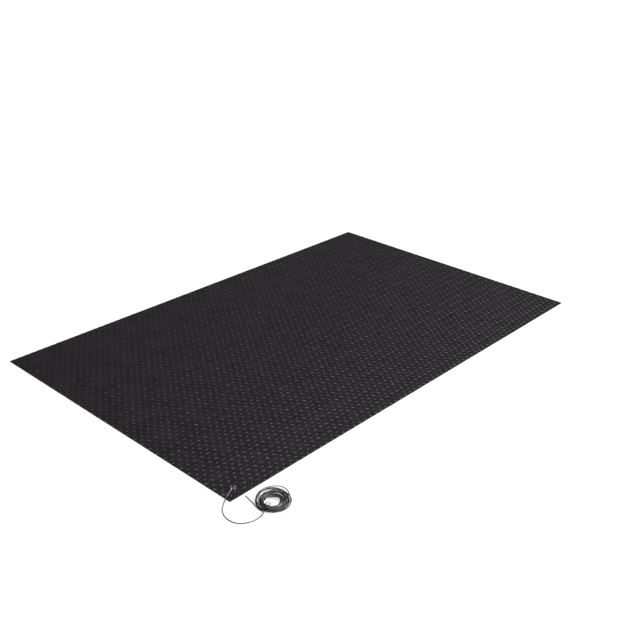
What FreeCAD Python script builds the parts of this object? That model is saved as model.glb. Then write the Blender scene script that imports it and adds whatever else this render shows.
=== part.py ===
"""Static-control floor mat with its snap-fastened ground cord.

A thin three-layer sheet lies flat on the floor. A snap stud is riveted through it near one
corner, and a thin ground cord snaps onto the stud. The cord makes one loop on the floor, is wound
into a loose coil, and ends in a ring terminal.

Millimetres, +Z up. The origin is under the middle of the mat, on the floor. +X runs along the
mat's long side and +Y along its short side.
"""

import FreeCAD, Part
import math
import os
import Sketcher
from FreeCAD import Placement, Rotation, Vector

doc = FreeCAD.newDocument("StaticControlMat")

# ---------------------------------------------------------------------------------------------
# Driving dimensions
# ---------------------------------------------------------------------------------------------

SIZES = {
    # the mat's three layers, from the floor up
    "mat_length": 1829.0,
    "mat_width": 1168.0,
    "backing_thickness": 1.6,
    "scrim_thickness": 0.3,
    "base_thickness": 0.7,
    "emboss_height": 0.6,
    # the flat seat and the holes for the snap
    "snap_along": 867.5,
    "snap_across": 545.5,
    "seat_radius": 25.0,
    "rivet_hole_radius": 2.4,
    "washer_pocket_radius": 6.7,
    # male snap stud: flange on the seat, neck, bead and domed top
    "flange_radius": 7.5,
    "flange_thickness": 0.5,
    "stud_bore_radius": 2.25,
    "stud_hollow_radius": 3.8,
    "neck_radius": 4.3,
    "neck_height": 2.3,
    "bead_radius": 5.0,
    "bead_low": 2.7,
    "bead_high": 3.2,
    "crown_radius": 4.2,
    "stud_height": 3.8,
    "stud_skin": 0.5,
    # tubular rivet that holds the stud, and the washer that presses on the scrim
    "rivet_radius": 2.2,
    "rivet_bore_radius": 1.7,
    "rivet_foot_radius": 6.0,
    "rivet_foot_level": 0.8,
    "rivet_foot_thickness": 0.4,
    "rivet_head_radius": 3.4,
    "rivet_head_thickness": 0.3,
    "washer_radius": 6.3,
    # female snap socket, upside-down cup with a lip that keeps the spring ring in
    "socket_level": 3.4,
    "socket_height": 4.5,
    "socket_radius": 6.9,
    "socket_cavity_radius": 6.1,
    "socket_lip_radius": 5.3,
    "socket_skin": 0.5,
    "spring_radius": 5.0,
    "spring_wire_radius": 0.4,
    "spring_level": 4.35,
    # eyelet that the cord's lug turns on
    "eyelet_radius": 1.8,
    "eyelet_bore_radius": 1.2,
    "eyelet_foot_radius": 3.0,
    "eyelet_foot_level": 7.1,
    "eyelet_foot_thickness": 0.3,
    "eyelet_head_radius": 2.9,
    "eyelet_head_level": 9.3,
    "eyelet_top": 9.6,
    # lug crimped on the cord, and the cap that covers the eyelet
    "lug_level": 8.2,
    "lug_thickness": 0.8,
    "lug_radius": 8.5,
    "lug_hole_radius": 1.86,
    "lug_tongue_width": 3.6,
    "lug_barrel_start": 9.6,
    "lug_barrel_length": 7.4,
    "lug_barrel_radius": 2.0,
    "lug_bore_start": 12.4,
    "lug_bore_radius": 0.35,
    "cap_radius": 5.6,
    "cap_thickness": 3.1,
    "cap_recess_radius": 3.2,
    "cap_recess_depth": 0.9,
    "cap_round": 1.0,
    # current-limiting resistor and splice, in line behind the lug
    "lead_turn": 205.0,
    "lead_drop": 3.5,
    "wire_radius": 0.3,
    "wire_start": 12.5,
    "resistor_start": 21.0,
    "resistor_length": 6.4,
    "resistor_end_length": 1.5,
    "resistor_end_radius": 1.25,
    "resistor_waist_radius": 1.0,
    "wire_end": 34.5,
    "ferrule_start": 31.0,
    "ferrule_length": 7.0,
    "ferrule_radius": 1.1,
    "ferrule_bore_radius": 0.65,
    "strand_radius": 0.6,
    "strand_start": 34.7,
    # heat-shrunk strain relief sleeve over the barrel, the resistor and the cord
    "sleeve_start": 14.0,
    "sleeve_shoulder": 19.0,
    "sleeve_taper": 38.0,
    "sleeve_end": 46.0,
    "sleeve_big_radius": 2.8,
    "sleeve_mid_radius": 2.3,
    "sleeve_small_radius": 1.85,
    "sleeve_big_bore": 2.05,
    "sleeve_mid_bore": 1.5,
    "sleeve_small_bore": 1.4,
    # the cord
    "cord_radius": 1.3,
    "cord_start": 39.0,
    "coil_along": 824.5,
    "coil_across": 666.0,
    "coil_radius": 55.0,
    "coil_height": 10.0,
    "coil_hole_along": 839.0,
    "coil_hole_across": 674.0,
    "coil_hole_radius": 26.0,
    "coil_top_round": 4.5,
    "coil_foot_round": 3.0,
    # ring terminal on the cord's far end, tipped up inside the coil
    "ring_along": 850.0,
    "ring_across": 669.5,
    "ring_turn": 75.0,
    "ring_tilt": 22.0,
    "ring_radius": 11.2,
    "ring_hole_radius": 7.4,
    "ring_thickness": 1.2,
    "ring_lift": 0.1,
    "ring_tongue_width": 5.0,
    "ring_barrel_start": 12.2,
    "ring_barrel_length": 8.3,
    "ring_barrel_radius": 1.7,
    "ring_bore_radius": 0.65,
    "ring_sleeve_start": 13.6,
    "ring_sleeve_end": 22.5,
    "ring_sleeve_radius": 2.7,
    "ring_sleeve_bore": 1.75,
    "ring_strand_start": 14.0,
    "ring_cord_start": 20.8,
}

sheet = doc.addObject("Spreadsheet::Sheet", "dims")
for row, (alias, number) in enumerate(SIZES.items(), start=1):
    sheet.set(f"A{row}", alias)
    sheet.set(f"B{row}", str(number))
    sheet.setAlias(f"B{row}", alias)
doc.recompute()


def amount(text):
    """The number that a sum of the sheet's names and plain numbers comes to."""
    total, sign = 0.0, 1.0
    for word in text.split():
        if word in ("+", "-"):
            sign = 1.0 if word == "+" else -1.0
        else:
            total += sign * (float(sheet.get(word)) if word in SIZES else float(word))
            sign = 1.0
    return total


def bound(text):
    """The same sum as an expression on the sheet."""
    return " ".join(f"dims.{word}" if word in SIZES else word for word in text.split())


# ---------------------------------------------------------------------------------------------
# Frames that pieces are placed in
# ---------------------------------------------------------------------------------------------

SNAP = Vector(-amount("snap_along"), -amount("snap_across"), 0)
SNAP_FRAME = Placement(SNAP, Rotation())


def pointing(turn, rise):
    """The unit vector at an angle turn about +Z from +X, rising by rise, both in degrees."""
    turn, rise = math.radians(turn), math.radians(rise)
    return Vector(math.cos(turn) * math.cos(rise), math.sin(turn) * math.cos(rise), math.sin(rise))


# the cord's first stretch: from the middle of the lug, outwards and slightly down
LEAD_START = SNAP + Vector(0, 0, amount("lug_level") + amount("lug_thickness") / 2)
LEAD = pointing(amount("lead_turn"), -amount("lead_drop"))
LEAD_FRAME = Placement(LEAD_START, Rotation(Vector(0, 0, 1), LEAD))

# the ring terminal: its edge touches the floor and its barrel points up and away
RING_RISE = math.radians(amount("ring_tilt"))
RING_CENTRE = Vector(
    -amount("ring_along"),
    -amount("ring_across"),
    amount("ring_radius") * math.sin(RING_RISE)
    + amount("ring_thickness") / 2 * math.cos(RING_RISE)
    + amount("ring_lift"),
)
BARREL = pointing(amount("ring_turn"), amount("ring_tilt"))
BARREL_FRAME = Placement(RING_CENTRE, Rotation(Vector(0, 0, 1), BARREL))
RING_NORMAL = pointing(amount("ring_turn") + 180, 90 - amount("ring_tilt"))
RING_FRAME = Placement(
    RING_CENTRE, Rotation(BARREL, RING_NORMAL.cross(BARREL), RING_NORMAL, "XYZ")
)

PARTS = []


def keep(piece, label):
    """Names a finished piece after its node and puts it on the list of what is written."""
    piece.Label = label
    PARTS.append(piece)
    return piece


# ---------------------------------------------------------------------------------------------
# Ways of making a piece
# ---------------------------------------------------------------------------------------------


def new_body(name):
    return doc.addObject("PartDesign::Body", name + "_body")


def plane_sketch(body, name, role):
    """A sketch on one of the body's own origin planes."""
    sketch = body.newObject("Sketcher::SketchObject", name)
    plane = next(f for f in body.Origin.OriginFeatures if f.Role == role)
    sketch.AttachmentSupport = [(plane, "")]
    sketch.MapMode = "FlatFace"
    return sketch


def sized(sketch, name, constraint, text):
    """Adds a dimension and binds it to the sheet."""
    sketch.addConstraint(constraint)
    index = sketch.ConstraintCount - 1
    sketch.renameConstraint(index, name)
    sketch.setExpression("Constraints." + name, bound(text))


def turned(label, profile, frame, rounds=()):
    """A body of revolution about its own Z: profile is its closed outline, (radius, height) each.

    rounds are (radius, height, size) of the circular edges that are rounded off.
    """
    body = new_body(label)
    sketch = plane_sketch(body, label + "_outline", "XZ_Plane")
    spots = [Vector(amount(r), amount(z), 0) for r, z in profile]
    count = len(spots)
    for i in range(count):
        sketch.addGeometry(Part.LineSegment(spots[i], spots[(i + 1) % count]), False)
    for i in range(count):
        sketch.addConstraint(Sketcher.Constraint("Coincident", i, 2, (i + 1) % count, 1))
    for i, (r, z) in enumerate(profile):
        if amount(r) == 0:
            sketch.addConstraint(Sketcher.Constraint("PointOnObject", i, 1, -2))
        else:
            across = Sketcher.Constraint("DistanceX", -1, 1, i, 1, amount(r))
            sized(sketch, f"radius{i}", across, r)
        if amount(z) == 0:
            sketch.addConstraint(Sketcher.Constraint("PointOnObject", i, 1, -1))
        else:
            up = Sketcher.Constraint("DistanceY", -1, 1, i, 1, amount(z))
            sized(sketch, f"height{i}", up, z)
    solid = body.newObject("PartDesign::Revolution", label + "_turned")
    solid.Profile = sketch
    solid.ReferenceAxis = (sketch, ["V_Axis"])
    solid.Angle = 360.0
    for radius, height, size in rounds:
        doc.recompute()
        edge = circle_edge(solid.Shape, amount(radius), amount(height))
        fillet = body.newObject("PartDesign::Fillet", label + "_round")
        fillet.Base = (solid, [edge])
        fillet.setExpression("Radius", bound(size))
        solid = fillet
    body.Tip = solid
    body.Placement = frame
    return keep(body, label)


def circle_edge(shape, radius, height):
    """The name of the circular edge about Z at that radius and height."""
    for number, edge in enumerate(shape.Edges, start=1):
        curve = edge.Curve
        if isinstance(curve, Part.Circle) and abs(curve.Radius - radius) < 1e-4:
            if abs(curve.Center.z - height) < 1e-4:
                return f"Edge{number}"
    raise ValueError(f"no circular edge of radius {radius} at height {height}")


def rod(name, radius, length, start="0", turn=None):
    """A plain cylinder, from start along Z, or along the axis that turn brings Z to."""
    piece = doc.addObject("Part::Cylinder", name)
    piece.setExpression("Radius", bound(radius))
    piece.setExpression("Height", bound(length))
    turn = turn or Rotation()
    piece.Placement = Placement(turn.multVec(Vector(0, 0, amount(start))), turn)
    return piece


def joined(name, *pieces):
    piece = doc.addObject("Part::MultiFuse", name)
    piece.Shapes = list(pieces)
    piece.Refine = True
    return piece


def less(name, base, tool):
    piece = doc.addObject("Part::Cut", name)
    piece.Base = base
    piece.Tool = tool
    return piece


# ---------------------------------------------------------------------------------------------
# The mat's layers
# ---------------------------------------------------------------------------------------------


def sheet_pad(body, name, hole_radius, thickness, level="0"):
    """One pad of the mat's full outline with a round hole at the snap."""
    sketch = plane_sketch(body, name + "_outline", "XY_Plane")
    x, y = amount("mat_length") / 2, amount("mat_width") / 2
    corners = [Vector(-x, -y, 0), Vector(x, -y, 0), Vector(x, y, 0), Vector(-x, y, 0)]
    for i in range(4):
        sketch.addGeometry(Part.LineSegment(corners[i], corners[(i + 1) % 4]), False)
    for i in range(4):
        sketch.addConstraint(Sketcher.Constraint("Coincident", i, 2, (i + 1) % 4, 1))
        kind = "Horizontal" if i % 2 == 0 else "Vertical"
        sketch.addConstraint(Sketcher.Constraint(kind, i))
    sketch.addConstraint(Sketcher.Constraint("Symmetric", 0, 1, 1, 2, -1, 1))
    long_side = Sketcher.Constraint("DistanceX", 0, 1, 0, 2, 2 * x)
    short_side = Sketcher.Constraint("DistanceY", 1, 1, 1, 2, 2 * y)
    sized(sketch, "long_side", long_side, "mat_length")
    sized(sketch, "short_side", short_side, "mat_width")
    sketch.addGeometry(Part.Circle(SNAP, Vector(0, 0, 1), amount(hole_radius)), False)
    along = Sketcher.Constraint("DistanceX", 4, 3, -1, 1, amount("snap_along"))
    across = Sketcher.Constraint("DistanceY", 4, 3, -1, 1, amount("snap_across"))
    sized(sketch, "hole", Sketcher.Constraint("Radius", 4, amount(hole_radius)), hole_radius)
    sized(sketch, "along", along, "snap_along")
    sized(sketch, "across", across, "snap_across")
    if level != "0":
        sketch.setExpression("AttachmentOffset.Base.z", bound(level))
    pad = body.newObject("PartDesign::Pad", name + "_pad")
    pad.Profile = sketch
    pad.setExpression("Length", bound(thickness))
    body.Tip = pad


def mat_layer(label, level, hole_radius, thickness):
    body = new_body(label)
    sheet_pad(body, label, hole_radius, thickness)
    body.Placement = Placement(Vector(0, 0, amount(level)), Rotation())
    return keep(body, label)


mat_layer("backing_layer", "0", "washer_pocket_radius", "backing_thickness")
mat_layer("conductive_scrim", "backing_thickness", "rivet_hole_radius", "scrim_thickness")

# the embossed face: a plain sheet, and on it the emboss at its full height except on the seat
wear = mat_layer(
    "wear_layer", "backing_thickness + scrim_thickness", "rivet_hole_radius", "base_thickness"
)
sheet_pad(wear, "emboss", "seat_radius", "emboss_height", "base_thickness")

SEAT = "backing_thickness + scrim_thickness + base_thickness"
STUD_TOP = SEAT + " + stud_height"

# ---------------------------------------------------------------------------------------------
# The snap stud and its rivet, fixed in the mat
# ---------------------------------------------------------------------------------------------

turned(
    "snap_stud",
    [
        ("stud_hollow_radius", SEAT),
        ("flange_radius", SEAT),
        ("flange_radius", SEAT + " + flange_thickness"),
        ("neck_radius", SEAT + " + flange_thickness"),
        ("neck_radius", SEAT + " + neck_height"),
        ("bead_radius", SEAT + " + bead_low"),
        ("bead_radius", SEAT + " + bead_high"),
        ("crown_radius", STUD_TOP),
        ("stud_bore_radius", STUD_TOP),
        ("stud_bore_radius", STUD_TOP + " - stud_skin"),
        ("stud_hollow_radius", STUD_TOP + " - stud_skin"),
    ],
    SNAP_FRAME,
)

WASHER_LEVEL = "rivet_foot_level + rivet_foot_thickness"
turned(
    "stud_rivet",
    [
        ("rivet_bore_radius", "rivet_foot_level"),
        ("rivet_foot_radius", "rivet_foot_level"),
        ("rivet_foot_radius", WASHER_LEVEL),
        ("rivet_radius", WASHER_LEVEL),
        ("rivet_radius", STUD_TOP),
        ("rivet_head_radius", STUD_TOP),
        ("rivet_head_radius", STUD_TOP + " + rivet_head_thickness"),
        ("rivet_bore_radius", STUD_TOP + " + rivet_head_thickness"),
    ],
    SNAP_FRAME,
)

turned(
    "contact_washer",
    [
        ("stud_bore_radius", WASHER_LEVEL),
        ("washer_radius", WASHER_LEVEL),
        ("washer_radius", "backing_thickness"),
        ("stud_bore_radius", "backing_thickness"),
    ],
    SNAP_FRAME,
)

# ---------------------------------------------------------------------------------------------
# The snap socket, its spring ring and its eyelet, which pull off the stud
# ---------------------------------------------------------------------------------------------

SOCKET_TOP = "socket_level + socket_height"
turned(
    "snap_socket",
    [
        ("socket_lip_radius", "socket_level"),
        ("socket_radius", "socket_level"),
        ("socket_radius", SOCKET_TOP),
        ("lug_hole_radius", SOCKET_TOP),
        ("lug_hole_radius", SOCKET_TOP + " - socket_skin"),
        ("socket_cavity_radius", SOCKET_TOP + " - socket_skin"),
        ("socket_cavity_radius", "socket_level + socket_skin"),
        ("socket_lip_radius", "socket_level + socket_skin"),
    ],
    SNAP_FRAME,
    rounds=[("socket_radius", SOCKET_TOP, "socket_skin")],
)

spring = doc.addObject("Part::Torus", "spring_ring")
spring.setExpression("Radius1", bound("spring_radius"))
spring.setExpression("Radius2", bound("spring_wire_radius"))
spring.Placement = Placement(SNAP + Vector(0, 0, amount("spring_level")), Rotation())
keep(spring, "socket_spring")

EYELET_FOOT_TOP = "eyelet_foot_level + eyelet_foot_thickness"
turned(
    "socket_eyelet",
    [
        ("eyelet_bore_radius", "eyelet_foot_level"),
        ("eyelet_foot_radius", "eyelet_foot_level"),
        ("eyelet_foot_radius", EYELET_FOOT_TOP),
        ("eyelet_radius", EYELET_FOOT_TOP),
        ("eyelet_radius", "eyelet_head_level"),
        ("eyelet_head_radius", "eyelet_head_level"),
        ("eyelet_head_radius", "eyelet_top"),
        ("eyelet_bore_radius", "eyelet_top"),
    ],
    SNAP_FRAME,
)

# ---------------------------------------------------------------------------------------------
# The cord's head, which turns on the eyelet: lug, cap, resistor, splice and sleeve
# ---------------------------------------------------------------------------------------------


def crimp_lug(label, sizes, frame, drop):
    """A flat ring with a tongue and a crimped barrel along its own +X.

    sizes names the sheet's rows for it. The barrel's axis starts at the middle of the ring's
    thickness, and drops by that many degrees below the ring's plane.
    """
    half = amount(sizes["thickness"]) / 2
    along = Rotation(Vector(0, 1, 0), 90 + drop)
    ring = rod(label + "_ring", sizes["radius"], sizes["thickness"])
    ring.Placement.Base = Vector(0, 0, -half)
    tongue = doc.addObject("Part::Box", label + "_tongue")
    tongue.setExpression("Length", bound(sizes["barrel_start"] + " + " + sizes["thickness"]))
    tongue.setExpression("Width", bound(sizes["tongue_width"]))
    tongue.setExpression("Height", bound(sizes["thickness"]))
    tongue.Placement.Base = Vector(0, -amount(sizes["tongue_width"]) / 2, -half)
    barrel = rod(
        label + "_barrel", sizes["barrel_radius"], sizes["barrel_length"],
        start=sizes["barrel_start"], turn=along,
    )
    hole = rod(label + "_hole", sizes["hole_radius"], sizes["thickness"] + " + 2")
    hole.Placement.Base = Vector(0, 0, -half - 1)
    bore = rod(
        label + "_bore", sizes["bore_radius"], sizes["barrel_length"],
        start=sizes["bore_start"], turn=along,
    )
    blank = joined(label + "_blank", ring, tongue, barrel)
    piece = less(label + "_lug", blank, joined(label + "_holes", hole, bore))
    doc.recompute()
    piece.Placement = frame
    return keep(piece, label)


LUG_SIZES = {
    "radius": "lug_radius",
    "thickness": "lug_thickness",
    "hole_radius": "lug_hole_radius",
    "tongue_width": "lug_tongue_width",
    "barrel_start": "lug_barrel_start",
    "barrel_length": "lug_barrel_length",
    "barrel_radius": "lug_barrel_radius",
    "bore_start": "lug_bore_start",
    "bore_radius": "lug_bore_radius",
}
LUG_FRAME = Placement(LEAD_START, Rotation(Vector(0, 0, 1), amount("lead_turn")))
crimp_lug("cord_lug", LUG_SIZES, LUG_FRAME, amount("lead_drop"))

CAP_LEVEL = "lug_level + lug_thickness"
turned(
    "snap_cap",
    [
        ("cap_recess_radius", CAP_LEVEL),
        ("cap_radius", CAP_LEVEL),
        ("cap_radius", CAP_LEVEL + " + cap_thickness"),
        ("0", CAP_LEVEL + " + cap_thickness"),
        ("0", CAP_LEVEL + " + cap_recess_depth"),
        ("cap_recess_radius", CAP_LEVEL + " + cap_recess_depth"),
    ],
    SNAP_FRAME,
    rounds=[("cap_radius", CAP_LEVEL + " + cap_thickness", "cap_round")],
)

RESISTOR_END = "resistor_start + resistor_length"
turned(
    "resistor_body",
    [
        ("0", "resistor_start"),
        ("resistor_end_radius", "resistor_start"),
        ("resistor_end_radius", "resistor_start + resistor_end_length"),
        ("resistor_waist_radius", "resistor_start + resistor_end_length"),
        ("resistor_waist_radius", RESISTOR_END + " - resistor_end_length"),
        ("resistor_end_radius", RESISTOR_END + " - resistor_end_length"),
        ("resistor_end_radius", RESISTOR_END),
        ("0", RESISTOR_END),
    ],
    LEAD_FRAME,
)

wires = doc.addObject("Part::Compound", "resistor_wires")
wires.Links = [
    rod("wire_in", "wire_radius", "resistor_start - wire_start", start="wire_start"),
    rod("wire_out", "wire_radius", "wire_end - " + RESISTOR_END.replace("+", "-"),
        start=RESISTOR_END),
]
doc.recompute()
wires.Placement = LEAD_FRAME
keep(wires, "resistor_leads")

FERRULE_END = "ferrule_start + ferrule_length"
turned(
    "splice_ferrule",
    [
        ("ferrule_bore_radius", "ferrule_start"),
        ("ferrule_radius", "ferrule_start"),
        ("ferrule_radius", FERRULE_END),
        ("ferrule_bore_radius", FERRULE_END),
    ],
    LEAD_FRAME,
)

turned(
    "cord_strands",
    [
        ("0", "strand_start"),
        ("strand_radius", "strand_start"),
        ("strand_radius", "cord_start"),
        ("0", "cord_start"),
    ],
    LEAD_FRAME,
)

turned(
    "strain_sleeve",
    [
        ("sleeve_big_bore", "sleeve_start"),
        ("sleeve_big_radius", "sleeve_start"),
        ("sleeve_big_radius", "sleeve_shoulder"),
        ("sleeve_mid_radius", "sleeve_shoulder + 2"),
        ("sleeve_mid_radius", "sleeve_taper"),
        ("sleeve_small_radius", "sleeve_end"),
        ("sleeve_small_bore", "sleeve_end"),
        ("sleeve_small_bore", "sleeve_taper + 1"),
        ("sleeve_mid_bore", "sleeve_taper"),
        ("sleeve_mid_bore", "sleeve_shoulder + 1"),
        ("sleeve_big_bore", "sleeve_shoulder"),
    ],
    LEAD_FRAME,
)

# ---------------------------------------------------------------------------------------------
# The cord and what is on it
# ---------------------------------------------------------------------------------------------


def rounded_path(label, points):
    """Straight runs joined by tangent arcs through the route's points, as one wire."""
    edges, start = [], points[0]
    runs = [(b - a).Length for a, b in zip(points, points[1:])]
    radii = []
    for i in range(1, len(points) - 1):
        before = (points[i] - points[i - 1]).normalize()
        after = (points[i + 1] - points[i]).normalize()
        turn = before.getAngle(after)
        radius = 0.45 * min(runs[i - 1], runs[i]) / math.tan(turn / 2)
        cut = radius * math.tan(turn / 2)
        radii.append(radius)
        arc_start, arc_end = points[i] - before * cut, points[i] + after * cut
        middle = (after - before).normalize()
        centre = points[i] + middle * (radius / math.cos(turn / 2))
        edges.append(Part.LineSegment(start, arc_start).toShape())
        edges.append(Part.Arc(arc_start, centre - middle * radius, arc_end).toShape())
        start = arc_end
    edges.append(Part.LineSegment(start, points[-1]).toShape())
    print(f"{label}: runs {[round(r, 1) for r in runs]}")
    print(f"{label}: bend radii {[round(r, 1) for r in radii]}")
    return Part.Wire(edges)


def cord_tube(label, points):
    """A round solid of the cord's thickness along the route."""
    path = rounded_path(label, points)
    radius = amount("cord_radius")
    start = Part.Circle(points[0], points[1] - points[0], radius).toShape()
    solid = path.makePipeShell([Part.Wire([start])], True, False)
    expected = math.pi * radius**2 * path.Length
    print(f"{label}: length {path.Length:.1f}, volume {solid.Volume:.1f} of {expected:.1f}")
    piece = doc.addObject("Part::Feature", label + "_tube")
    piece.Shape = solid
    return keep(piece, label)


# from inside the sleeve over the mat's edge, down to the floor and round to the coil
LEAD_ROUTE = [
    LEAD_START + LEAD * amount("cord_start"),
    LEAD_START + LEAD * (amount("cord_start") + 18.5),
    Vector(-933.5, -578.6, 2.0),
    Vector(-949.5, -590.2, 1.35),
    Vector(-961.8, -606.5, 1.35),
    Vector(-970.0, -625.8, 1.35),
    Vector(-971.8, -646.5, 1.35),
    Vector(-966.3, -666.0, 1.35),
    Vector(-954.0, -680.4, 1.35),
    Vector(-936.5, -690.0, 1.35),
    Vector(-917.0, -694.2, 1.35),
    Vector(-898.5, -693.0, 2.0),
    Vector(-883.5, -688.0, 4.8),
    Vector(-874.5, -678.5, 8.2),
]
cord_tube("cord_lead", LEAD_ROUTE)


def coil_solid():
    """The space that the loose turns fill: a low round ring with its opening off centre."""
    body = new_body("cord_coil")
    sketch = plane_sketch(body, "coil_outline", "XY_Plane")
    for number, name in enumerate(("coil", "coil_hole")):
        along, across, radius = name + "_along", name + "_across", name + "_radius"
        centre = Vector(-amount(along), -amount(across), 0)
        sketch.addGeometry(Part.Circle(centre, Vector(0, 0, 1), amount(radius)), False)
        sized(sketch, radius, Sketcher.Constraint("Radius", number, amount(radius)), radius)
        x = Sketcher.Constraint("DistanceX", number, 3, -1, 1, amount(along))
        y = Sketcher.Constraint("DistanceY", number, 3, -1, 1, amount(across))
        sized(sketch, along, x, along)
        sized(sketch, across, y, across)
    pad = body.newObject("PartDesign::Pad", "coil_pad")
    pad.Profile = sketch
    pad.setExpression("Length", bound("coil_height"))
    doc.recompute()
    solid = pad
    for level, size in (("coil_height", "coil_top_round"), ("0", "coil_foot_round")):
        edges = [
            circle_edge(solid.Shape, amount(radius), amount(level))
            for radius in ("coil_radius", "coil_hole_radius")
        ]
        fillet = body.newObject("PartDesign::Fillet", "coil_round")
        fillet.Base = (solid, edges)
        fillet.setExpression("Radius", bound(size))
        doc.recompute()
        solid = fillet
    body.Tip = solid
    return keep(body, "cord_coil")


coil_solid()

# the cord's last stretch, from the ring terminal up and over onto the coil
END_ROUTE = [
    RING_CENTRE + BARREL * amount("ring_cord_start"),
    RING_CENTRE + BARREL * (amount("ring_cord_start") + 5.6),
    Vector(-845.7, -640.7, 15.4),
    Vector(-850.6, -637.9, 15.6),
    Vector(-856.1, -638.9, 14.8),
    Vector(-861.6, -643.2, 12.9),
    Vector(-866.2, -649.8, 11.2),
]
cord_tube("cord_end", END_ROUTE)

RING_SIZES = {
    "radius": "ring_radius",
    "thickness": "ring_thickness",
    "hole_radius": "ring_hole_radius",
    "tongue_width": "ring_tongue_width",
    "barrel_start": "ring_barrel_start",
    "barrel_length": "ring_barrel_length",
    "barrel_radius": "ring_barrel_radius",
    "bore_start": "ring_strand_start",
    "bore_radius": "ring_bore_radius",
}
crimp_lug("ring_terminal", RING_SIZES, RING_FRAME, 0)

turned(
    "terminal_sleeve",
    [
        ("ring_sleeve_bore", "ring_sleeve_start"),
        ("ring_sleeve_radius", "ring_sleeve_start"),
        ("ring_sleeve_radius", "ring_sleeve_end"),
        ("ring_sleeve_bore", "ring_sleeve_end"),
    ],
    BARREL_FRAME,
)

turned(
    "terminal_strands",
    [
        ("0", "ring_strand_start"),
        ("strand_radius", "ring_strand_start"),
        ("strand_radius", "ring_cord_start"),
        ("0", "ring_cord_start"),
    ],
    BARREL_FRAME,
)

# an offcut of the same cord, wrapped once round the coil's turns, with one end left long
TIE_ROUTE = [
    Vector(-873.5, -687.6, 11.4),
    Vector(-866.5, -684.6, 12.0),
    Vector(-859.0, -681.6, 10.8),
    Vector(-856.2, -680.2, 6.2),
    Vector(-858.6, -680.4, 1.6),
    Vector(-866.0, -683.2, 1.35),
    Vector(-874.6, -685.8, 1.35),
    Vector(-881.0, -680.0, 1.35),
    Vector(-882.0, -669.5, 1.35),
    Vector(-880.3, -657.0, 1.35),
    Vector(-876.5, -642.5, 1.35),
    Vector(-872.5, -627.5, 1.35),
    Vector(-869.5, -612.0, 1.35),
    Vector(-866.0, -596.0, 1.35),
]
cord_tube("coil_tie", TIE_ROUTE)

# ---------------------------------------------------------------------------------------------
# Check and write
# ---------------------------------------------------------------------------------------------

doc.recompute()
for item in doc.Objects:
    if "Invalid" in item.State or "Error" in item.State:
        raise RuntimeError(f"{item.Name} failed: {item.State}")

os.makedirs("parts", exist_ok=True)
for piece in PARTS:
    shape = piece.Shape
    if shape.isNull() or not shape.isValid() or not shape.Solids:
        raise RuntimeError(f"{piece.Label} has no valid solid")
    shape.exportStep(f"parts/{piece.Label}.step")
    box = shape.optimalBoundingBox(False)
    print(
        f"{piece.Label}: {len(shape.Solids)} solid, {shape.Volume:.1f} mm3,"
        f" x {box.XMin:.1f}..{box.XMax:.1f}, y {box.YMin:.1f}..{box.YMax:.1f},"
        f" z {box.ZMin:.2f}..{box.ZMax:.2f}"
    )
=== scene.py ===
"""Looks of the static-control floor mat, its snap head, its ground cord and its ring terminal.

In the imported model's frame: the mat lies on the floor around the origin, +X along its long side,
+Z up. The photograph's near corner is the mat's corner at -X and -Y. Values are in metres, apart
from the cords' routes and the coil, which are laid out in millimetres.
"""

import math

import bmesh
import bpy
import numpy as np
from mathutils import Matrix, Vector
from mathutils.geometry import delaunay_2d_cdt


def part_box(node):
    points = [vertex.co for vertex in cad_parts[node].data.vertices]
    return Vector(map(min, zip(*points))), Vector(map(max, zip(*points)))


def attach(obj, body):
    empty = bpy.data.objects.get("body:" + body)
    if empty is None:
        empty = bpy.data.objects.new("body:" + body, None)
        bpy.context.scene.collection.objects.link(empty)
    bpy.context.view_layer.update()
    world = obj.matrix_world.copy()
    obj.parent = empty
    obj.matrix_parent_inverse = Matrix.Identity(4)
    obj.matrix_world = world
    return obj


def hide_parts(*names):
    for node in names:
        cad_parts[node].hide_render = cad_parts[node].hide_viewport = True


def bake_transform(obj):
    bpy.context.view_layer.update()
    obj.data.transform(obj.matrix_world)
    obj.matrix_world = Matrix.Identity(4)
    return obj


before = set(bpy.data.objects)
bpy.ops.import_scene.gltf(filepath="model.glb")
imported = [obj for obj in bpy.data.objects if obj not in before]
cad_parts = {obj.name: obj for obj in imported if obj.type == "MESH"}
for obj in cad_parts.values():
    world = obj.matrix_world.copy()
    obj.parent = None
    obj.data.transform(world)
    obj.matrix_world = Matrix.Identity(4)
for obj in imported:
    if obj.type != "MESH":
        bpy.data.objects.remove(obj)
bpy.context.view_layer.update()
MM = 0.001


def pointing(turn, rise):
    """The unit vector at an angle turn about +Z from +X, rising by rise, both in degrees."""
    turn, rise = math.radians(turn), math.radians(rise)
    level = math.cos(rise)
    return Vector((math.cos(turn) * level, math.sin(turn) * level, math.sin(rise)))


def middle(node):
    """The middle of a CAD node's box."""
    low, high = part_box(node)
    return (Vector(low) + Vector(high)) / 2


# ---------------------------------------------------------------------------------------------
# Camera
# ---------------------------------------------------------------------------------------------

CAMERA_PLACE = Vector((-2.268, -2.160, 1.584))
CAMERA_TURN = 42.58
CAMERA_TILT = 26.17
CAMERA_ROLL = 0.75
CAMERA_LENS = 51.36
CAMERA_REACH = 200

camera = bpy.data.objects.new("camera", bpy.data.cameras.new("camera"))
bpy.context.scene.collection.objects.link(camera)
bpy.context.scene.camera = camera
camera.data.lens = CAMERA_LENS
camera.data.clip_end = CAMERA_REACH
look = pointing(CAMERA_TURN, -CAMERA_TILT)
level_right = Vector((look.y, -look.x, 0)).normalized()
level_up = level_right.cross(look)
roll = math.radians(CAMERA_ROLL)
right = level_right * math.cos(roll) + level_up * math.sin(roll)
up = level_up * math.cos(roll) - level_right * math.sin(roll)
camera.matrix_world = Matrix.Translation(CAMERA_PLACE) @ Matrix(
    ((right.x, up.x, -look.x), (right.y, up.y, -look.y), (right.z, up.z, -look.z))
).to_4x4()

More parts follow.
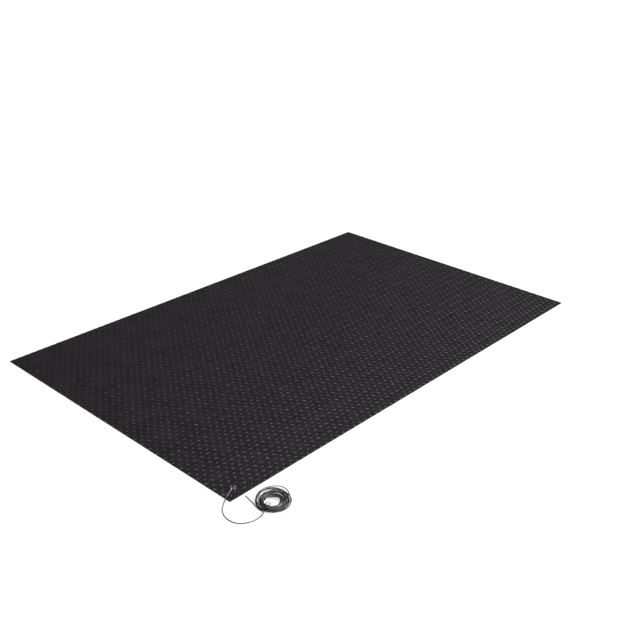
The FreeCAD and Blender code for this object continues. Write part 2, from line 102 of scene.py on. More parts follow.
# ---------------------------------------------------------------------------------------------
# Materials
# ---------------------------------------------------------------------------------------------

# the part of a noise pattern's range over which colour and roughness change
COLOUR_SPAN = (0.35, 0.65)
ROUGHNESS_SPAN = (0.3, 0.7)
# the detail of each pattern, and how much finer gloss and grain are than the patches of colour
COLOUR_DETAIL = 3.0
GLOSS_FINENESS = 3
GLOSS_DETAIL = 5.0
GRAIN_FINENESS = 40
GRAIN_DETAIL = 2.0
# roughness in the glossiest and the dullest patches, as shares of the named roughness
GLOSSY_SHARE = 0.85
DULL_SHARE = 1.2

MATERIALS = {}


def new_material(name, colour, roughness, metal=0.0, specular=0.5):
    """A plain material and its shader."""
    material = bpy.data.materials.new(name)
    material.use_nodes = True
    shader = material.node_tree.nodes["Principled BSDF"]
    shader.inputs["Base Color"].default_value = (*colour, 1)
    shader.inputs["Roughness"].default_value = roughness
    shader.inputs["Metallic"].default_value = metal
    shader.inputs["Specular IOR Level"].default_value = specular
    return material, shader


def noise(material, scale, detail):
    """A noise pattern fixed to the object, scale in features per metre."""
    nodes, links = material.node_tree.nodes, material.node_tree.links
    place = nodes.new("ShaderNodeTexCoord")
    pattern = nodes.new("ShaderNodeTexNoise")
    pattern.inputs["Scale"].default_value = scale
    pattern.inputs["Detail"].default_value = detail
    links.new(place.outputs["Object"], pattern.inputs["Vector"])
    return pattern.outputs["Fac"]


def vary_colour(material, shader, pattern, dark, light):
    """The base colour runs from dark to light with the pattern."""
    nodes, links = material.node_tree.nodes, material.node_tree.links
    ramp = nodes.new("ShaderNodeValToRGB")
    for stop, position, colour in zip(ramp.color_ramp.elements, COLOUR_SPAN, (dark, light)):
        stop.position = position
        stop.color = (*colour, 1)
    links.new(pattern, ramp.inputs["Fac"])
    links.new(ramp.outputs["Color"], shader.inputs["Base Color"])


def vary_roughness(material, shader, pattern, low, high):
    """The roughness runs from low to high with the pattern."""
    nodes, links = material.node_tree.nodes, material.node_tree.links
    spread = nodes.new("ShaderNodeMapRange")
    spread.inputs["From Min"].default_value = ROUGHNESS_SPAN[0]
    spread.inputs["From Max"].default_value = ROUGHNESS_SPAN[1]
    spread.inputs["To Min"].default_value = low
    spread.inputs["To Max"].default_value = high
    links.new(pattern, spread.inputs["Value"])
    links.new(spread.outputs["Result"], shader.inputs["Roughness"])


def bump(material, shader, pattern, depth):
    """Fine relief, depth in metres."""
    nodes, links = material.node_tree.nodes, material.node_tree.links
    relief = nodes.new("ShaderNodeBump")
    relief.inputs["Distance"].default_value = depth
    links.new(pattern, relief.inputs["Height"])
    links.new(relief.outputs["Normal"], shader.inputs["Normal"])


def grained(
    name, dark, light, roughness, metal=0.0, specular=0.5, scale=60.0, relief=0.0, grain=None
):
    """Makes a material with soft patches of colour and gloss, and a relief of fine grain.

    scale and grain are in features per metre, and relief is the grain's depth in metres.
    """
    material, shader = new_material(name, light, roughness, metal, specular)
    vary_colour(material, shader, noise(material, scale, COLOUR_DETAIL), dark, light)
    patches = noise(material, scale * GLOSS_FINENESS, GLOSS_DETAIL)
    dull = min(roughness * DULL_SHARE, 1.0)
    vary_roughness(material, shader, patches, roughness * GLOSSY_SHARE, dull)
    if relief:
        grains = noise(material, grain or scale * GRAIN_FINENESS, GRAIN_DETAIL)
        bump(material, shader, grains, relief)
    MATERIALS[name] = material


grained(
    "wear_vinyl", (0.0085, 0.0060, 0.0085), (0.0130, 0.0094, 0.0130), 0.23,
    specular=0.72, scale=14.0, relief=0.0007, grain=190.0,
)
grained(
    "cut_vinyl", (0.0040, 0.0035, 0.0040), (0.0075, 0.0065, 0.0075), 0.9,
    specular=0.06, scale=90.0, relief=0.00005,
)
grained(
    "backing_rubber", (0.005, 0.005, 0.005), (0.010, 0.010, 0.010), 0.9,
    specular=0.08, scale=90.0, relief=0.00008,
)
grained(
    "scrim", (0.02, 0.02, 0.02), (0.05, 0.05, 0.05), 0.8,
    specular=0.2, scale=700.0, relief=0.00005,
)
grained("nickel", (0.56, 0.54, 0.50), (0.66, 0.64, 0.60), 0.24, metal=1.0, scale=300.0)
grained("washer_steel", (0.42, 0.42, 0.42), (0.55, 0.55, 0.54), 0.35, metal=1.0, scale=300.0)
grained("spring_wire", (0.55, 0.54, 0.52), (0.68, 0.67, 0.65), 0.2, metal=1.0, scale=400.0)
grained("eyelet_brass", (0.58, 0.44, 0.20), (0.70, 0.55, 0.28), 0.28, metal=1.0, scale=300.0)
grained(
    "cap_black", (0.010, 0.010, 0.011), (0.018, 0.018, 0.019), 0.34, scale=400.0, relief=0.00002
)
grained("resistor_enamel", (0.30, 0.42, 0.50), (0.36, 0.48, 0.56), 0.35, scale=500.0)
grained("tinned_wire", (0.60, 0.60, 0.60), (0.72, 0.72, 0.72), 0.25, metal=1.0, scale=500.0)
grained("copper_strands", (0.62, 0.28, 0.15), (0.78, 0.38, 0.22), 0.35, metal=1.0, scale=900.0)
grained(
    "sleeve_grey", (0.120, 0.116, 0.120), (0.160, 0.155, 0.160), 0.34,
    scale=300.0, relief=0.00004,
)
grained(
    "cord_grey", (0.022, 0.021, 0.022), (0.030, 0.029, 0.030), 0.22,
    specular=0.95, scale=40.0, relief=0.00001,
)
grained(
    "tin_plate", (0.70, 0.71, 0.70), (0.84, 0.85, 0.84), 0.26,
    metal=1.0, scale=200.0, relief=0.00001,
)
grained(
    "terminal_plate", (0.62, 0.63, 0.62), (0.78, 0.79, 0.78), 0.26,
    metal=1.0, scale=200.0, relief=0.00001,
)
# near black, darker than bare metal: painted shade for the ring terminal's stamped edges
grained("cut_edge_shade", (0.06, 0.055, 0.05), (0.10, 0.09, 0.085), 0.45, metal=1.0, scale=200.0)
grained(
    "sleeve_red", (0.055, 0.008, 0.012), (0.085, 0.012, 0.018), 0.36,
    scale=300.0, relief=0.00003,
)
grained(
    "tie_grey", (0.020, 0.019, 0.020), (0.028, 0.027, 0.028), 0.25,
    specular=0.9, scale=60.0, relief=0.00002,
)


def finish_with(obj, name):
    """Gives a piece its material."""
    obj.data.materials.clear()
    obj.data.materials.append(MATERIALS[name])


# ---------------------------------------------------------------------------------------------
# Ways of making a piece
# ---------------------------------------------------------------------------------------------

TURNED_STEPS = 64
SPLINE_STEPS = 4
ROUND_STEPS = 3


def mesh_object(name, points, faces):
    """A smooth mesh object from points in metres and faces as lists of their numbers."""
    mesh = bpy.data.meshes.new(name)
    mesh.from_pydata([tuple(p) for p in points], [], faces)
    mesh.update()
    mesh.shade_smooth()
    obj = bpy.data.objects.new(name, mesh)
    bpy.context.scene.collection.objects.link(obj)
    return obj


def lathe(name, outline, start, axis):
    """A turned solid: outline is a closed loop of (radius, distance along the axis), metres."""
    side = axis.orthogonal().normalized()
    other = axis.cross(side)
    points, faces = [], []
    count = len(outline)
    for step in range(TURNED_STEPS):
        angle = 2 * math.pi * step / TURNED_STEPS
        out = side * math.cos(angle) + other * math.sin(angle)
        points += [start + axis * along + out * radius for radius, along in outline]
        here, after = step * count, (step + 1) % TURNED_STEPS * count
        for i in range(count):
            j = (i + 1) % count
            faces.append((here + i, here + j, after + j, after + i))
    obj = mesh_object(name, points, faces)
    work = bmesh.new()
    work.from_mesh(obj.data)
    bmesh.ops.recalc_face_normals(work, faces=work.faces)
    work.to_mesh(obj.data)
    work.free()
    return obj


def cord_curve(name, points, radius):
    """A tube along the route's one open spline, and the points of the line that it follows."""
    curve = bpy.data.curves.new(name, "CURVE")
    curve.dimensions = "3D"
    spline = curve.splines.new("NURBS")
    spline.points.add(len(points) - 1)
    for spot, point in zip(spline.points, points):
        spot.co = (*point, 1)
    spline.order_u = 3
    spline.use_endpoint_u = True
    spline.resolution_u = SPLINE_STEPS
    line = bpy.data.meshes.new_from_object(bpy.data.objects.new(name + "_line", curve))
    path = [tuple(vertex.co) for vertex in line.vertices]
    curve.bevel_depth = radius
    curve.bevel_resolution = ROUND_STEPS
    curve.use_fill_caps = True
    tube = bpy.data.objects.new(name, bpy.data.meshes.new_from_object(
        bpy.data.objects.new(name + "_tube", curve)
    ))
    bpy.context.scene.collection.objects.link(tube)
    tube.data.shade_smooth()
    return tube, path


# ---------------------------------------------------------------------------------------------
# The cord: the lead, the loose coil and the end at the ring terminal
# ---------------------------------------------------------------------------------------------

CORD_RADIUS = 1.3 * MM
SNAP = middle("snap_cap")
LUG_THICKNESS = 0.8 * MM
LEAD_START = Vector((SNAP.x, SNAP.y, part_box("snap_cap")[0][2] - LUG_THICKNESS / 2))
LEAD = pointing(205.0, -3.5)

RING_RADIUS = 11.2 * MM
RING_THICKNESS = 1.2 * MM
RING_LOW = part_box("ring_terminal")[0]
RING_TILT = 22.0
BARREL = pointing(75.0, RING_TILT)
RING_NORMAL = pointing(255.0, 90 - RING_TILT)
RING_CENTRE = Vector((-850.0 * MM, -669.5 * MM, RING_LOW[2]))
RING_CENTRE.z += RING_RADIUS * math.sin(math.radians(RING_TILT))
RING_CENTRE.z += RING_THICKNESS / 2 * math.cos(math.radians(RING_TILT))

# The routes, in millimetres; LYING is the height of the middle of a cord that lies on the floor.
LYING = 1.35
LEAD_ROUTE = [
    LEAD_START / MM + LEAD * 39.0,
    LEAD_START / MM + LEAD * 57.5,
    (-933.5, -578.6, 2.0),
    (-949.5, -590.2, LYING),
    (-961.8, -606.5, LYING),
    (-970.0, -625.8, LYING),
    (-971.8, -646.5, LYING),
    (-966.3, -666.0, LYING),
    (-954.0, -680.4, LYING),
    (-936.5, -690.0, LYING),
    (-917.0, -694.2, LYING),
    (-898.5, -693.0, 2.0),
    (-883.5, -688.0, 4.8),
    (-874.5, -678.5, 8.2),
]
END_ROUTE = [
    (-866.2, -649.8, 11.2),
    (-861.6, -643.2, 12.9),
    (-856.1, -638.9, 14.8),
    (-850.6, -637.9, 15.6),
    (-845.7, -640.7, 15.4),
    RING_CENTRE / MM + BARREL * 26.4,
    RING_CENTRE / MM + BARREL * 20.8,
]
TIE_ROUTE = [
    (-873.5, -687.6, 11.4),
    (-866.5, -684.6, 12.0),
    (-859.0, -681.6, 10.8),
    (-856.2, -680.2, 6.2),
    (-858.6, -680.4, 1.6),
    (-866.0, -683.2, LYING),
    (-874.6, -685.8, LYING),
    (-881.0, -680.0, LYING),
    (-882.0, -669.5, LYING),
    (-880.3, -657.0, LYING),
    (-876.5, -642.5, LYING),
    (-872.5, -627.5, LYING),
    (-869.5, -612.0, LYING),
    (-866.0, -596.0, LYING),
]

# The coil, in millimetres and degrees, is laid out as seen from the camera: across to its right
# and away from it, from the middle of the CAD coil. Turns bunch on the near left, where they are
# tied, and fan out opposite.
COIL_MIDDLE = middle("cord_coil") / MM
ACROSS = np.array((0.677, -0.736))
AWAY = np.array((0.736, 0.677))
TURNS = 15
MEAN_RADIUS = 44
STEP = 6.0
COIL_FROM = 214.0
COIL_TO = 205.0
SEED = 11

# how far a turn reaches each way: (place in the order of sizes from 0 to 1, millimetres)
LEFT_REACH = ((0, 31), (0.74, 39), (0.78, 48.5), (1, 51.5))
AWAY_REACH = ((0, 12), (0.70, 43), (0.76, 52), (1, 57))
RIGHT_REACH = ((0, 20), (0.15, 30), (0.5, 36), (0.6, 41), (1, 51))
NEAR_REACH = ((0, 44), (1, 57.5))
FIRST_TURN_SIZE = 0.05
LAST_TURN_SIZE = 0.35
LOOSE = 1.0

# a turn passes over into the next one in its last share
PASSING_FROM = 0.70
PASSING_SHARE = 0.30
# the turns wander by a millimetre or two on the loose side, with so many waves to a turn
LOOSE_SIDE = 60
WAVES = (1.7, 2.9, 4.3)
# where the turns drop from: the middle one lowest, the first and the last higher by so much
LOW_TURN = 4
EXTRA_HEIGHT = 16
# so many points at each end of the coil are drawn over to the lead and to the cord's end
JOINING_POINTS = 14
# so many points of the lead, before the one where the coil starts, come near the coil
LEAD_POINTS = 4

# The coil settles in rounds. Segments that may touch are looked for every few rounds, with some
# room to spare and past the nearest neighbours. In each round the points sink a little, less and
# less, the cord's stiffness brings back its bends in plan, and the passes restore its lengths and
# push apart what overlaps. Pushes at one point are averaged, those of a very small part left out.
ROUNDS = 120
SEARCH_EVERY = 8
SEARCH_MARGIN = 2
NEIGHBOURS = 3
FIRST_SINK = 0.12
LEAST_SINK = 0.01
STIFFNESS = 0.2
PASSES = 2
PUSH_SHARE = 0.6
PUSH_GAIN = 1.6
LEAST_PART = 0.05
# these keep divisors from being zero
LEAST_DIVISOR = 1e-9
LEAST_TOTAL = 1e-3
LEAST_GAP = 1e-6


def eased(t):
    """A share from 0 to 1 that starts and ends gently."""
    t = np.clip(t, 0, 1)
    return t * t * (3 - 2 * t)


def reach_at(order, spots):
    """A reach for each place in the order of sizes, by straight lines between the named ones."""
    return np.interp(order, [place for place, _ in spots], [value for _, value in spots])


def turn_reaches(rng):
    """How far each turn reaches to the left, away, right and near of the coil's middle."""
    order = rng.permutation(np.linspace(0, 1, TURNS))
    order[0] = FIRST_TURN_SIZE
    order[-1] = LAST_TURN_SIZE
    loose = rng.uniform(-LOOSE, LOOSE, (TURNS, 4))
    reaches = [reach_at(order, way) for way in (LEFT_REACH, AWAY_REACH, RIGHT_REACH, NEAR_REACH)]
    return np.stack(reaches, axis=1) + loose


def coil_line():
    """The coil's turns before they settle, clockwise from the lead."""
    rng = np.random.default_rng(SEED)
    reaches = turn_reaches(rng)
    sweep = 360.0 * TURNS + COIL_FROM - COIL_TO
    count = int(sweep / 360 * 2 * math.pi * MEAN_RADIUS / STEP)
    turned = np.linspace(0, sweep, count)
    angle = np.radians(COIL_FROM - turned)
    turn = turned / 360
    whole = np.floor(turn).astype(int)
    over = eased((turn - whole - PASSING_FROM) / PASSING_SHARE)
    first = reaches[np.clip(whole, 0, TURNS - 1)]
    second = reaches[np.clip(whole + 1, 0, TURNS - 1)]
    left, away, right_side, near = (first + (second - first) * over[:, None]).T
    across = (right_side - left) / 2 + (right_side + left) / 2 * np.cos(angle)
    depth = (away - near) / 2 + (away + near) / 2 * np.sin(angle)
    wander = np.zeros(count)
    for waves in WAVES:
        shift = rng.uniform(0, 360)
        wander += np.sin(np.radians(turned * waves + shift))
    wander *= eased(0.5 + 0.5 * np.cos(angle - math.radians(LOOSE_SIDE)))
    across += wander * np.cos(angle)
    depth += wander * np.sin(angle)
    plan = np.array(COIL_MIDDLE[:2]) + across[:, None] * ACROSS + depth[:, None] * AWAY
    height = LOW_TURN + EXTRA_HEIGHT * np.abs(2 * turned / sweep - 1)
    return np.column_stack((plan, height))


def bends(x):
    """How far a line bends at each of its points."""
    bend = np.zeros_like(x)
    bend[1:-1] = x[:-2] - 2 * x[1:-1] + x[2:]
    return bend


def near_pairs(x, linked, reach):
    """The pairs of segments that are near enough to touch soon, neighbours left out."""
    centre = (x[:-1] + x[1:]) / 2
    apart = ((centre[:, None] - centre[None]) ** 2).sum(2)
    first, second = np.nonzero(apart < reach ** 2)
    keep = (second > first + NEIGHBOURS) & linked[first] & linked[second]
    return first[keep], second[keep]


def nearest_spots(p, p_step, q, q_step):
    """Where along two sets of segments each pair comes closest, as shares of each segment."""
    gap = p - q
    a = (p_step * p_step).sum(1)
    b = (p_step * q_step).sum(1)
    c = (p_step * gap).sum(1)
    e = (q_step * q_step).sum(1)
    f = (q_step * gap).sum(1)
    s = np.clip((b * f - c * e) / np.maximum(a * e - b * b, LEAST_DIVISOR), 0, 1)
    t = np.clip((b * s + f) / e, 0, 1)
    s = np.clip((b * t - c) / a, 0, 1)
    return s, t


def hold_lengths(x, rest, linked, weight):
    """Moves points so that the segments keep their lengths, every second one and then the rest."""
    for start in (0, 1):
        a = np.arange(start, len(x) - 1, 2)
        a = a[linked[a]]
        along = x[a + 1] - x[a]
        size = np.linalg.norm(along, axis=1)
        share = np.maximum(weight[a] + weight[a + 1], LEAST_DIVISOR)
        pull = (size - rest[a]) / share / size
        x[a] += along * (pull * weight[a])[:, None]
        x[a + 1] -= along * (pull * weight[a + 1])[:, None]


def push_apart(x, first, second, weight, thickness):
    """Moves points so that segments don't run through each other, and none lies in the floor."""
    p_step, q_step = x[first + 1] - x[first], x[second + 1] - x[second]
    s, t = nearest_spots(x[first], p_step, x[second], q_step)
    gap = x[first] + p_step * s[:, None] - x[second] - q_step * t[:, None]
    distance = np.linalg.norm(gap, axis=1)
    hit = distance < thickness
    i, j, s, t = first[hit], second[hit], s[hit], t[hit]
    gap, distance = gap[hit], distance[hit]
    parts = (
        (i, (1 - s) * weight[i], 1), (i + 1, s * weight[i + 1], 1),
        (j, (1 - t) * weight[j], -1), (j + 1, t * weight[j + 1], -1),
    )
    total = parts[0][1] * (1 - s) + parts[1][1] * s
    total += parts[2][1] * (1 - t) + parts[3][1] * t
    size = (thickness - distance) / np.maximum(total, LEAST_TOTAL) * PUSH_SHARE
    push = gap / np.maximum(distance, LEAST_GAP)[:, None] * size[:, None]
    move, hits = np.zeros_like(x), np.zeros(len(x))
    for index, part, sign in parts:
        np.add.at(move, index, sign * push * part[:, None])
        np.add.at(hits, index, part > LEAST_PART)
    x += move / np.maximum(hits, 1)[:, None] * PUSH_GAIN
    x[:, 2] = np.where(weight > 0, np.maximum(x[:, 2], thickness / 2), x[:, 2])


def settle(x, free, linked, thickness):
    """Lets the free points of a cord drop onto its other turns, what is fixed and the floor.

    x holds all points in a row, and linked says which of the segments between them are there.
    """
    rest = np.linalg.norm(np.diff(x, axis=0), axis=1)
    reach = (rest[:, None] + rest) / 2 + thickness + SEARCH_MARGIN
    bend_rest = bends(x)
    bend_rest[:, 2] = 0
    bendable = np.zeros(len(x))
    bendable[1:-1] = linked[:-1] * linked[1:]
    weight = free.astype(float)
    for step in range(ROUNDS):
        if step % SEARCH_EVERY == 0:
            first, second = near_pairs(x, linked, reach)
        x[:, 2] -= (FIRST_SINK * (1 - step / ROUNDS) + LEAST_SINK) * weight
        x += STIFFNESS * (bends(x) - bend_rest) * (weight * bendable)[:, None]
        for _ in range(PASSES):
            hold_lengths(x, rest, linked, weight)
            push_apart(x, first, second, weight, thickness)
    return x


def settled_coil():
    """The coil's points after they settle round the lead, the cord's end and the tie."""
    turns = coil_line()
    to_lead = np.array(LEAD_ROUTE[-1]) - turns[0]
    to_end = np.array(END_ROUTE[0]) - turns[-1]
    for k in range(JOINING_POINTS):
        share = 1 - eased(k / JOINING_POINTS)
        turns[k] += to_lead * share
        turns[-1 - k] += to_end * share
    lead = LEAD_ROUTE[-1 - LEAD_POINTS : -1]
    end = END_ROUTE[1:]
    x = np.vstack((lead, turns, end, TIE_ROUTE))
    start = len(lead)
    stop = start + len(turns)
    free = np.zeros(len(x), bool)
    free[start + 1 : stop - 1] = True
    linked = np.ones(len(x) - 1, bool)
    linked[stop + len(end) - 1] = False
    x = settle(x, free, linked, 2 * CORD_RADIUS / MM)
    return x[start + 1 : stop - 1]


cord_points = [Vector(p) * MM for p in (*LEAD_ROUTE, *settled_coil(), *END_ROUTE)]
cord, cord_path = cord_curve("ground_cord", cord_points, CORD_RADIUS)
finish_with(cord, "cord_grey")
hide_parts("cord_lead", "cord_coil", "cord_end")
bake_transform(cord)

tie_points = [Vector(p) * MM for p in TIE_ROUTE]
tie, tie_path = cord_curve("coil_tie_tail", tie_points, CORD_RADIUS)
finish_with(tie, "tie_grey")
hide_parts("coil_tie")
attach(tie, "mat")

# ---------------------------------------------------------------------------------------------
# The mat's embossed face
# ---------------------------------------------------------------------------------------------

WEAR_LOW, WEAR_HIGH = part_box("wear_layer")
EMBOSS = 0.8 * MM
BASE = WEAR_HIGH[2] - EMBOSS
SEAT_RADIUS = 25.0 * MM
CELL_LONG = 26.4 * MM
CELL_SHORT = 37.0 * MM
PEBBLE_TURN = 54.5
PEBBLE_LENGTH = 16.5 * MM
PEBBLE_WIDTH = 9.5 * MM
POINTED_BY = 0.15
FOOT_POINTS = 12
CREST_POINTS = 6
CREST_LENGTH = PEBBLE_LENGTH * 0.5
CREST_WIDTH = PEBBLE_WIDTH * 0.4
PATTERN_TURN = 0.5
# what the triangulation gives: the inside of the border, with spots this near taken as one
INSIDE = 1
SAME_SPOT = 1e-9
SAME_PLACE = 1e-6
ON_THE_CUT = 1e-7
# an edge is sharp round the foot of an oval, where a level face meets a slope this near the base,
# and where faces meet at more than the crease
FOOT_HEIGHT = 0.1 * EMBOSS
LEVEL = 0.9999
CREASE = 50
# a face whose normal rises by less than this is a wall
WALL = 0.1


def oval(length, width, count):
    """Points round an oval with rather pointed ends, from its middle."""
    spots = []
    for k in range(count):
        angle = 2 * math.pi * k / count
        across = math.sin(angle) * abs(math.sin(angle)) ** POINTED_BY
        spots.append((math.cos(angle) * length / 2, across * width / 2))
    return spots


def pebble_tile():
    """One diamond tile with a raised oval in its middle: points (x, y, height) and triangles."""
    turn = Matrix.Rotation(math.radians(PEBBLE_TURN), 2)
    border = [(CELL_LONG / 2, 0), (0, CELL_SHORT / 2), (-CELL_LONG / 2, 0), (0, -CELL_SHORT / 2)]
    foot = [turn @ Vector(p) for p in oval(PEBBLE_LENGTH, PEBBLE_WIDTH, FOOT_POINTS)]
    crest = [turn @ Vector(p) for p in oval(CREST_LENGTH, CREST_WIDTH, CREST_POINTS)]
    spots = [Vector(p) for p in border] + foot + crest
    heights = [0.0] * (len(border) + len(foot)) + [1.0] * len(crest)
    loops = []
    first = 0
    for count in (len(border), len(foot), len(crest)):
        loops += [(first + k, first + (k + 1) % count) for k in range(count)]
        first += count
    found, _, triangles, sources, _, _ = delaunay_2d_cdt(
        spots, loops, [], INSIDE, SAME_SPOT
    )
    tile = [(spot.x, spot.y, heights[source[0]]) for spot, source in zip(found, sources)]
    return np.array(tile), np.array(triangles)


def pebbled_sheet():
    """Tiles and their mirror images over more than the whole mat, flat round the snap."""
    tile, triangles = pebble_tile()
    columns = int(WEAR_HIGH[0] / CELL_LONG) + 2
    rows = int(WEAR_HIGH[1] / CELL_SHORT) + 2
    turn = Matrix.Rotation(math.radians(PATTERN_TURN), 2)
    points, faces = [], []
    for kind in (0, 1):
        pebble = tile * (1, 1 - 2 * kind, EMBOSS)
        for i in range(-columns, columns + 1):
            for j in range(-rows, rows + 1):
                place = Vector(((i + kind / 2) * CELL_LONG, (j + kind / 2) * CELL_SHORT))
                seat = (turn @ place - SNAP.xy).length < SEAT_RADIUS + PEBBLE_WIDTH / 2
                faces.append(triangles + len(points) * len(tile))
                points.append(pebble * (1, 1, 0 if seat else 1) + (*place, BASE))
    points = np.concatenate(points)
    points[:, :2] = points[:, :2] @ np.array(turn).T
    return mesh_object("embossed_face", points, np.concatenate(faces).tolist())


def cut_to_size(work):
    """Cuts the sheet at the mat's four sides and closes it down to the wear layer's underside."""
    for axis, side in ((0, 1), (0, -1), (1, 1), (1, -1)):
        normal = Vector((0, 0, 0))
        normal[axis] = side
        everything = work.verts[:] + work.edges[:] + work.faces[:]
        bmesh.ops.bisect_plane(
            work, geom=everything, dist=ON_THE_CUT, plane_co=normal * WEAR_HIGH[axis],
            plane_no=normal, clear_outer=True,
        )
    rim = [edge for edge in work.edges if edge.is_boundary]
    dropped = bmesh.ops.extrude_edge_only(work, edges=rim)["geom"]
    for part in dropped:
        if isinstance(part, bmesh.types.BMVert):
            part.co.z = WEAR_LOW[2]
    bottom = [edge for edge in work.edges if edge.is_boundary]
    bmesh.ops.contextual_create(work, geom=bottom)
    bmesh.ops.recalc_face_normals(work, faces=work.faces)


def embossed_face():
    """The wear layer, with sharp edges only at its walls and round the foot of each oval."""
    obj = pebbled_sheet()
    work = bmesh.new()
    work.from_mesh(obj.data)
    bmesh.ops.remove_doubles(work, verts=work.verts, dist=SAME_PLACE)
    cut_to_size(work)
    for edge in work.edges:
        if len(edge.link_faces) == 2:
            level = [side.normal.z > LEVEL for side in edge.link_faces]
            foot = level[0] != level[1] and edge.verts[0].co.z < BASE + FOOT_HEIGHT
            edge.smooth = not foot and edge.calc_face_angle(0) < math.radians(CREASE)
    work.to_mesh(obj.data)
    work.free()
    return obj


# the cut walls of the mat are dull
face = embossed_face()
finish_with(face, "wear_vinyl")
face.data.materials.append(MATERIALS["cut_vinyl"])
for polygon in face.data.polygons:
    polygon.material_index = 1 if abs(polygon.normal.z) < WALL else 0
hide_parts("wear_layer")
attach(face, "mat")

# ---------------------------------------------------------------------------------------------
# The heat-shrunk sleeves, which show what is under them
# ---------------------------------------------------------------------------------------------

# (radius, distance) in millimetres, over the lug's barrel, the resistor, the splice and the cord
STRAIN_OUTLINE = [
    (2.05, 14.0), (2.45, 14.0), (2.68, 14.3), (2.78, 15.5), (2.78, 17.4), (2.58, 18.9),
    (2.28, 20.2), (2.20, 21.2), (2.29, 22.2), (2.18, 24.2), (2.27, 26.4), (2.12, 28.0),
    (2.02, 29.6), (2.10, 31.0), (2.22, 32.0), (2.22, 36.8), (2.05, 38.4), (1.84, 40.4),
    (1.90, 43.0), (1.84, 45.6), (1.72, 46.0), (1.40, 46.0), (1.40, 39.0), (1.50, 38.0),
    (1.50, 20.0), (2.05, 19.0),
]
sleeve = lathe("strain_relief", [(r * MM, s * MM) for r, s in STRAIN_OUTLINE], LEAD_START, LEAD)
finish_with(sleeve, "sleeve_grey")
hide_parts("strain_sleeve")
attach(sleeve, "cord_head")

RED_OUTLINE = [
    (1.75, 13.6), (2.15, 13.6), (2.40, 13.8), (2.58, 14.6), (2.62, 17.0), (2.56, 19.6),
    (2.30, 21.0), (2.00, 22.0), (1.92, 22.5), (1.75, 22.5),
]
red = lathe("terminal_shrink", [(r * MM, s * MM) for r, s in RED_OUTLINE], RING_CENTRE, BARREL)
finish_with(red, "sleeve_red")
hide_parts("terminal_sleeve")
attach(red, "mat")

# ---------------------------------------------------------------------------------------------
# CAD pieces that keep their shape
# ---------------------------------------------------------------------------------------------

# node: its finish
CARRIED = {
    "backing_layer": "backing_rubber",
    "conductive_scrim": "scrim",
    "snap_stud": "nickel",
    "stud_rivet": "nickel",
    "contact_washer": "washer_steel",
    "snap_socket": "nickel",
    "socket_spring": "spring_wire",
    "socket_eyelet": "eyelet_brass",
    "cord_lug": "tin_plate",
    "snap_cap": "cap_black",
    "resistor_body": "resistor_enamel",
    "resistor_leads": "tinned_wire",
    "splice_ferrule": "tinned_wire",
    "cord_strands": "copper_strands",
    "ring_terminal": "tin_plate",
    "terminal_strands": "copper_strands",
}
# the cut sheets keep their sharp edges
SHARP = ("backing_layer", "conductive_scrim")
EASED_EDGE = 0.12 * MM
EASED_STEPS = 2
EASED_FROM = 35
for node, finish in CARRIED.items():
    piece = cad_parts[node]
    finish_with(piece, finish)
    if node not in SHARP:
        edges = piece.modifiers.new("eased_edges", "BEVEL")
        edges.width = EASED_EDGE
        edges.segments = EASED_STEPS
        edges.limit_method = "ANGLE"
        edges.angle_limit = math.radians(EASED_FROM)

# painted shade: the plating round the terminal's hole is darkened, standing in for the hole's wall
# and the shadow beside it
HOLE_SHADE_FROM = 8.3 * MM
HOLE_SHADE_TO = 9.0 * MM
HOLE_SHADE_COLOUR = (0.05, 0.045, 0.042, 1)
plate = MATERIALS["terminal_plate"]
nodes, links = plate.node_tree.nodes, plate.node_tree.links
place = nodes.new("ShaderNodeTexCoord")
reach = nodes.new("ShaderNodeVectorMath")
reach.operation = "DISTANCE"
reach.inputs[1].default_value = RING_CENTRE
# the painted shade is full near the hole and fades out between these two distances from its middle
painted_hole_shade = nodes.new("ShaderNodeMapRange")
painted_hole_shade.inputs["From Min"].default_value = HOLE_SHADE_FROM
painted_hole_shade.inputs["From Max"].default_value = HOLE_SHADE_TO
blend = nodes.new("ShaderNodeMix")
blend.data_type = "RGBA"
blend.inputs["A"].default_value = HOLE_SHADE_COLOUR
plate_shader = nodes["Principled BSDF"]
plate_colour = plate_shader.inputs["Base Color"].links[0].from_socket
links.new(place.outputs["Object"], reach.inputs[0])
links.new(reach.outputs["Value"], painted_hole_shade.inputs["Value"])
links.new(painted_hole_shade.outputs["Result"], blend.inputs["Factor"])
links.new(plate_colour, blend.inputs["B"])
links.new(blend.outputs["Result"], plate_shader.inputs["Base Color"])

# the ring's stamped edges are bare and duller than its plated faces; their near-black colour is
# painted shade
ACROSS_THE_RING = 0.3
NEAR_THE_RING = RING_RADIUS * 1.05
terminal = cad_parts["ring_terminal"]
terminal.data.materials[0] = plate
terminal.data.materials.append(MATERIALS["cut_edge_shade"])
for polygon in terminal.data.polygons:
    edge_on = abs(polygon.normal.dot(RING_NORMAL)) < ACROSS_THE_RING
    if edge_on and (polygon.center - RING_CENTRE).length < NEAR_THE_RING:
        polygon.material_index = 1
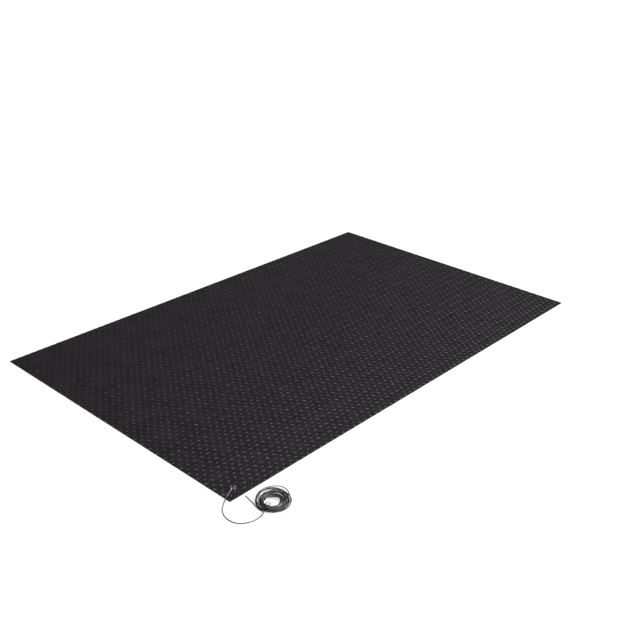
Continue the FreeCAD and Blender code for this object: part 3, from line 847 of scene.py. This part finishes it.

# ---------------------------------------------------------------------------------------------
# Floor and light
# ---------------------------------------------------------------------------------------------

FLOOR_SIZE = 60
FLOOR_COLOUR = (0.93, 0.93, 0.93)
bpy.ops.mesh.primitive_plane_add(size=FLOOR_SIZE, location=(0, 0, 0))
floor = bpy.context.object
floor.name = "floor"
floor_material, _ = new_material("floor", FLOOR_COLOUR, 0.9, specular=0.1)
floor.data.materials.append(floor_material)

# One very large soft light, high on the right of the camera, in a dark studio: its brightness
# against the cosine of the angle from its middle.
LIGHT_FROM = pointing(-42.0, 66.0)
LIGHT = ((0.0, 0.02), (0.67, 0.03), (0.81, 1.0), (1.0, 1.0))
LIGHT_STRENGTH = 2.85
world = bpy.data.worlds.new("studio")
bpy.context.scene.world = world
world.use_nodes = True
sky = world.node_tree
background = sky.nodes["Background"]
background.inputs["Strength"].default_value = LIGHT_STRENGTH
where = sky.nodes.new("ShaderNodeTexCoord")
toward = sky.nodes.new("ShaderNodeVectorMath")
toward.operation = "DOT_PRODUCT"
toward.inputs[1].default_value = LIGHT_FROM
spread = sky.nodes.new("ShaderNodeValToRGB")
stops = spread.color_ramp.elements
for number, (cosine, bright) in enumerate(LIGHT):
    stop = stops[number] if number in (0, 1) else stops.new(cosine)
    stop.position = cosine
    stop.color = (bright, bright, bright, 1)
sky.links.new(where.outputs["Generated"], toward.inputs[0])
sky.links.new(toward.outputs["Value"], spread.inputs["Fac"])
sky.links.new(spread.outputs["Color"], background.inputs["Color"])

# seen by the camera beyond the floor's edge, the studio is as pale as the floor
pale = sky.nodes.new("ShaderNodeBackground")
pale.inputs["Color"].default_value = (1, 1, 1, 1)
rays = sky.nodes.new("ShaderNodeLightPath")
choice = sky.nodes.new("ShaderNodeMixShader")
sky.links.new(rays.outputs["Is Camera Ray"], choice.inputs["Fac"])
sky.links.new(background.outputs["Background"], choice.inputs[1])
sky.links.new(pale.outputs["Background"], choice.inputs[2])
sky.links.new(choice.outputs["Shader"], sky.nodes["World Output"].inputs["Surface"])

bpy.context.scene.view_settings.view_transform = "Standard"
